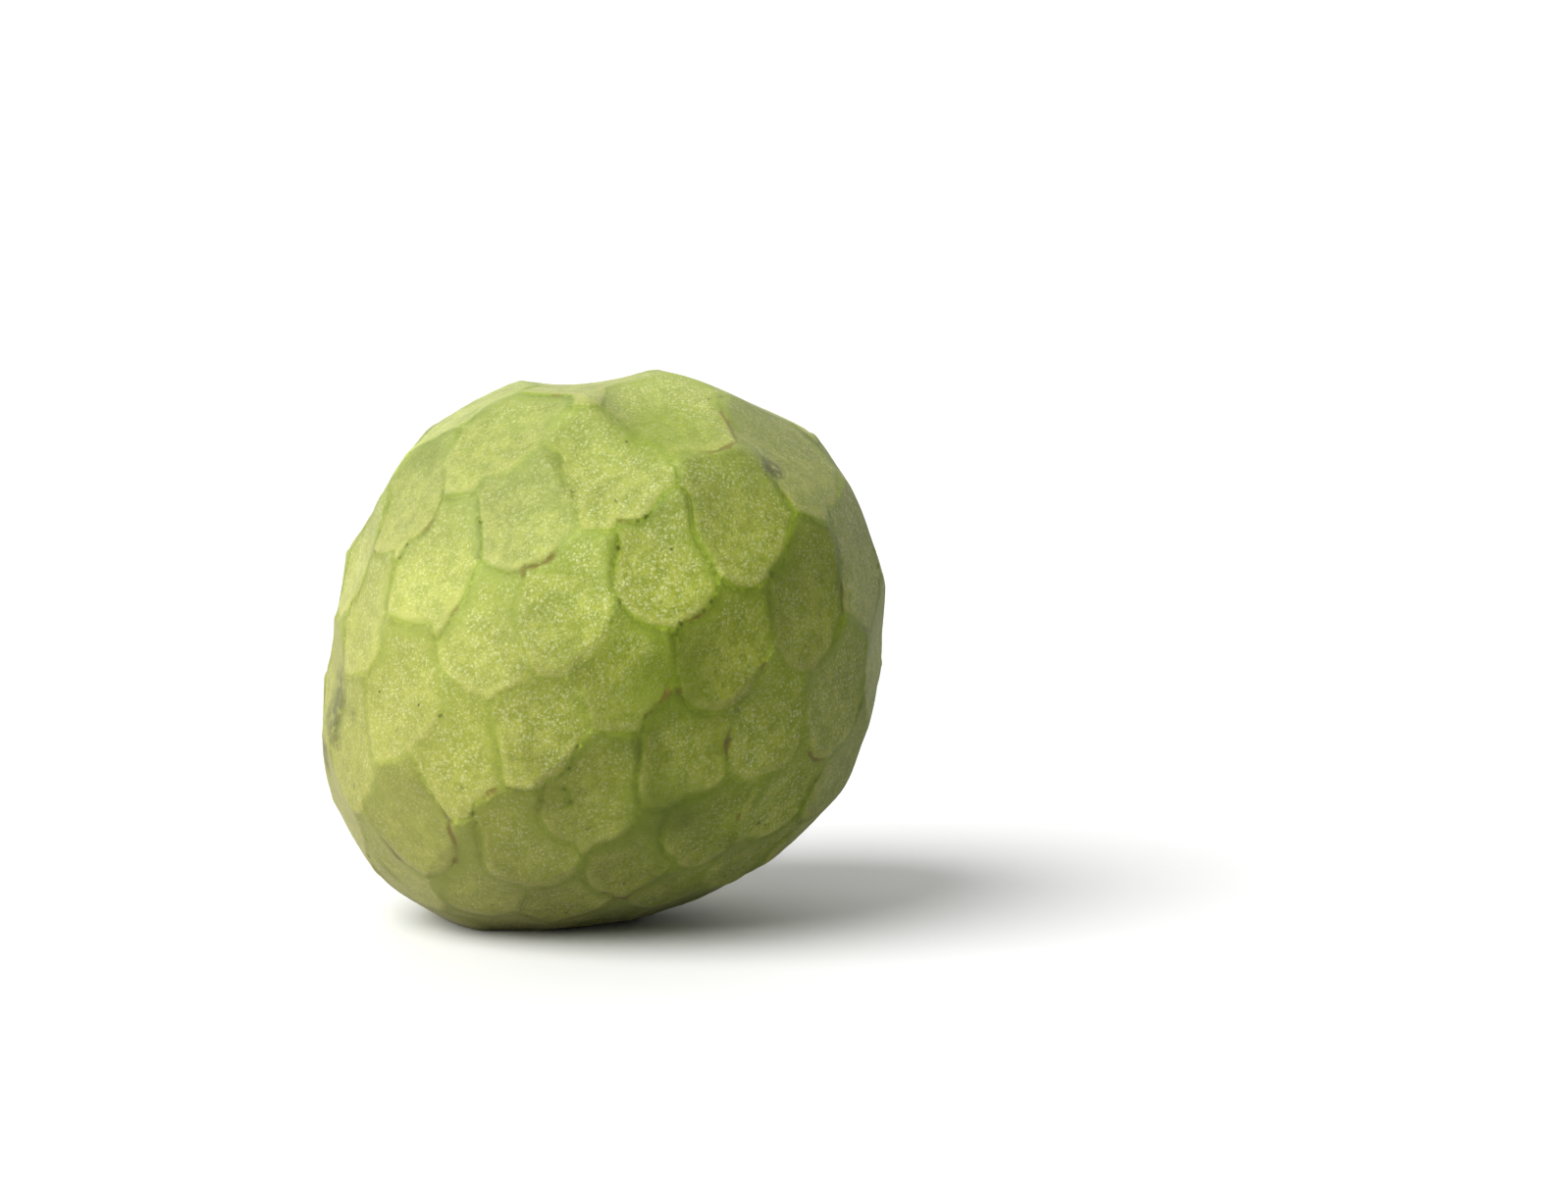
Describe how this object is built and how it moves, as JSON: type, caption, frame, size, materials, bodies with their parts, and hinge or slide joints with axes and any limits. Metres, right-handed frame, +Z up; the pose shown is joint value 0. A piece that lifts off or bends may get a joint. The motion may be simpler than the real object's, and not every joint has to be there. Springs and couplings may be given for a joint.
{
  "type": "custard apple",
  "caption": "Whole custard apple: a lopsided round green fruit covered in overlapping tongue-shaped scales, standing stem end up, with a short clipped stalk in a shallow hollow.",
  "frame": {"origin": "on the flat rest spot, below the point that the body's radii are measured from", "axes": "+Z up, from the rest spot to the stem end; -Y towards the side shown in the picture; +X to the right in the picture"},
  "size_m": [0.0995, 0.0964, 0.0974],
  "materials": {
    "skin": "velvety satin fruit skin, green with pale speckles, smooth olive seams between the scales",
    "stalk": "dry woody stalk, clipped square"
  },
  "bodies": {
    "root": {"fruit": "skin", "stem": "stalk"}
  },
  "joints": []
}
